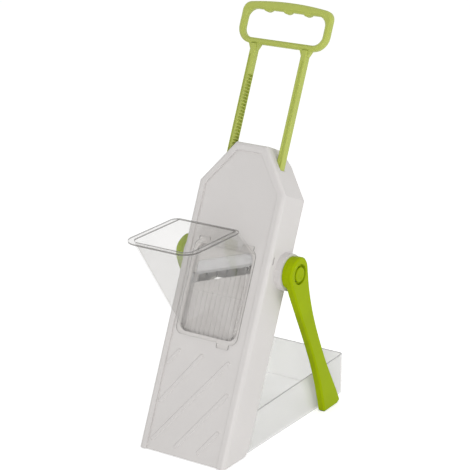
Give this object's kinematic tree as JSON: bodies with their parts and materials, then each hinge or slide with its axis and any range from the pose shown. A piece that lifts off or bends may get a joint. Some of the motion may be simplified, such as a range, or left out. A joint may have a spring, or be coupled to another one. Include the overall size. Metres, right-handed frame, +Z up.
{
  "type": "vegetable chopper",
  "caption": "Standing push-down vegetable chopper: leaning body with a sprung slanted blade carriage, clear hopper and tray, and two folding legs.",
  "frame": {"origin": "on the surface it stands on, under the middle of the whole object's box", "axes": "+Z up, +Y towards the back where the tray slides out, +X to the right seen from the hopper side"},
  "size_m": [0.151, 0.2834, 0.4537],
  "materials": {
    "white_plastic": "satin warm grey-white moulding",
    "lime_plastic": "satin lime green moulding",
    "green_plastic": "satin green moulding",
    "grey_plastic": "plain grey gear plastic",
    "runway_plastic": "satin ribbed moulding",
    "clear_plastic": "clear polished plastic",
    "clear_tray": "clear slightly milky plastic",
    "blade_steel": "ground stainless steel",
    "steel": "drawn bright steel",
    "spring_steel": "plated spring wire",
    "screw_steel": "plated screw",
    "rubber": "matt rubber"
  },
  "bodies": {
    "housing": {"front_shell": "white_plastic", "rear_cover": "white_plastic", "cover_screws": "screw_steel", "rubber_feet": "rubber", "left_guide_rod": "steel", "right_guide_rod": "steel", "left_return_spring": "spring_steel", "right_return_spring": "spring_steel", "damper_body": "grey_plastic", "left_pivot_pin": "steel", "right_pivot_pin": "steel"},
    "carriage": {"handle_loop": "lime_plastic", "left_rail": "lime_plastic", "right_rail": "lime_plastic", "blade_carriage": "white_plastic", "runway_plate": "runway_plastic", "slicing_blade": "blade_steel", "julienne_comb": "blade_steel", "blade_screws": "screw_steel", "rail_screws": "screw_steel"},
    "pinion": {"damper_pinion": "grey_plastic"},
    "left_leg_body": {"left_leg": "green_plastic", "left_foot_pad": "rubber"},
    "right_leg_body": {"right_leg": "green_plastic", "right_foot_pad": "rubber"},
    "left_release": {"left_leg_button": "green_plastic"},
    "right_release": {"right_leg_button": "green_plastic"},
    "hopper": {"food_hopper": "clear_plastic"},
    "tray": {"catch_tray": "clear_tray"}
  },
  "joints": [
    {"name": "handle_push", "type": "slide", "parent": "housing", "child": "carriage", "axis": [0, -0.4019, -0.9157], "range_m": [0, 0.09], "stiffness_N_per_m": 60, "springref_m": -0.1, "deforming": ["left_return_spring", "right_return_spring"]},
    {"name": "pinion_spin", "type": "hinge", "parent": "housing", "child": "pinion", "pos_m": [-0.02192, 0.03395, 0.28399], "axis": [0, -0.9157, 0.4019], "range_deg": [0, 644]},
    {"name": "left_leg_fold", "type": "hinge", "parent": "housing", "child": "left_leg_body", "pos_m": [-0.069, 0.01089, 0.18742], "axis": [1, 0, 0], "range_deg": [-52, 0]},
    {"name": "right_leg_fold", "type": "hinge", "parent": "housing", "child": "right_leg_body", "pos_m": [0.069, 0.01089, 0.18742], "axis": [1, 0, 0], "range_deg": [-52, 0]},
    {"name": "left_button_press", "type": "slide", "parent": "left_leg_body", "child": "left_release", "axis": [1, 0, 0], "range_m": [0, 0.0024], "stiffness_N_per_m": 300, "springref_m": -0.003},
    {"name": "right_button_press", "type": "slide", "parent": "right_leg_body", "child": "right_release", "axis": [-1, 0, 0], "range_m": [0, 0.0024], "stiffness_N_per_m": 300, "springref_m": -0.003},
    {"name": "hopper_lift", "type": "slide", "parent": "housing", "child": "hopper", "axis": [0, -0.9157, 0.4019], "range_m": [0, 0.06]},
    {"name": "tray_slide", "type": "slide", "parent": "housing", "child": "tray", "axis": [0, 1, 0], "range_m": [0, 0.2]}
  ],
  "couplings": [
    {"joint": "pinion_spin", "follows": "handle_push", "rad_per_m": 124.67}
  ]
}
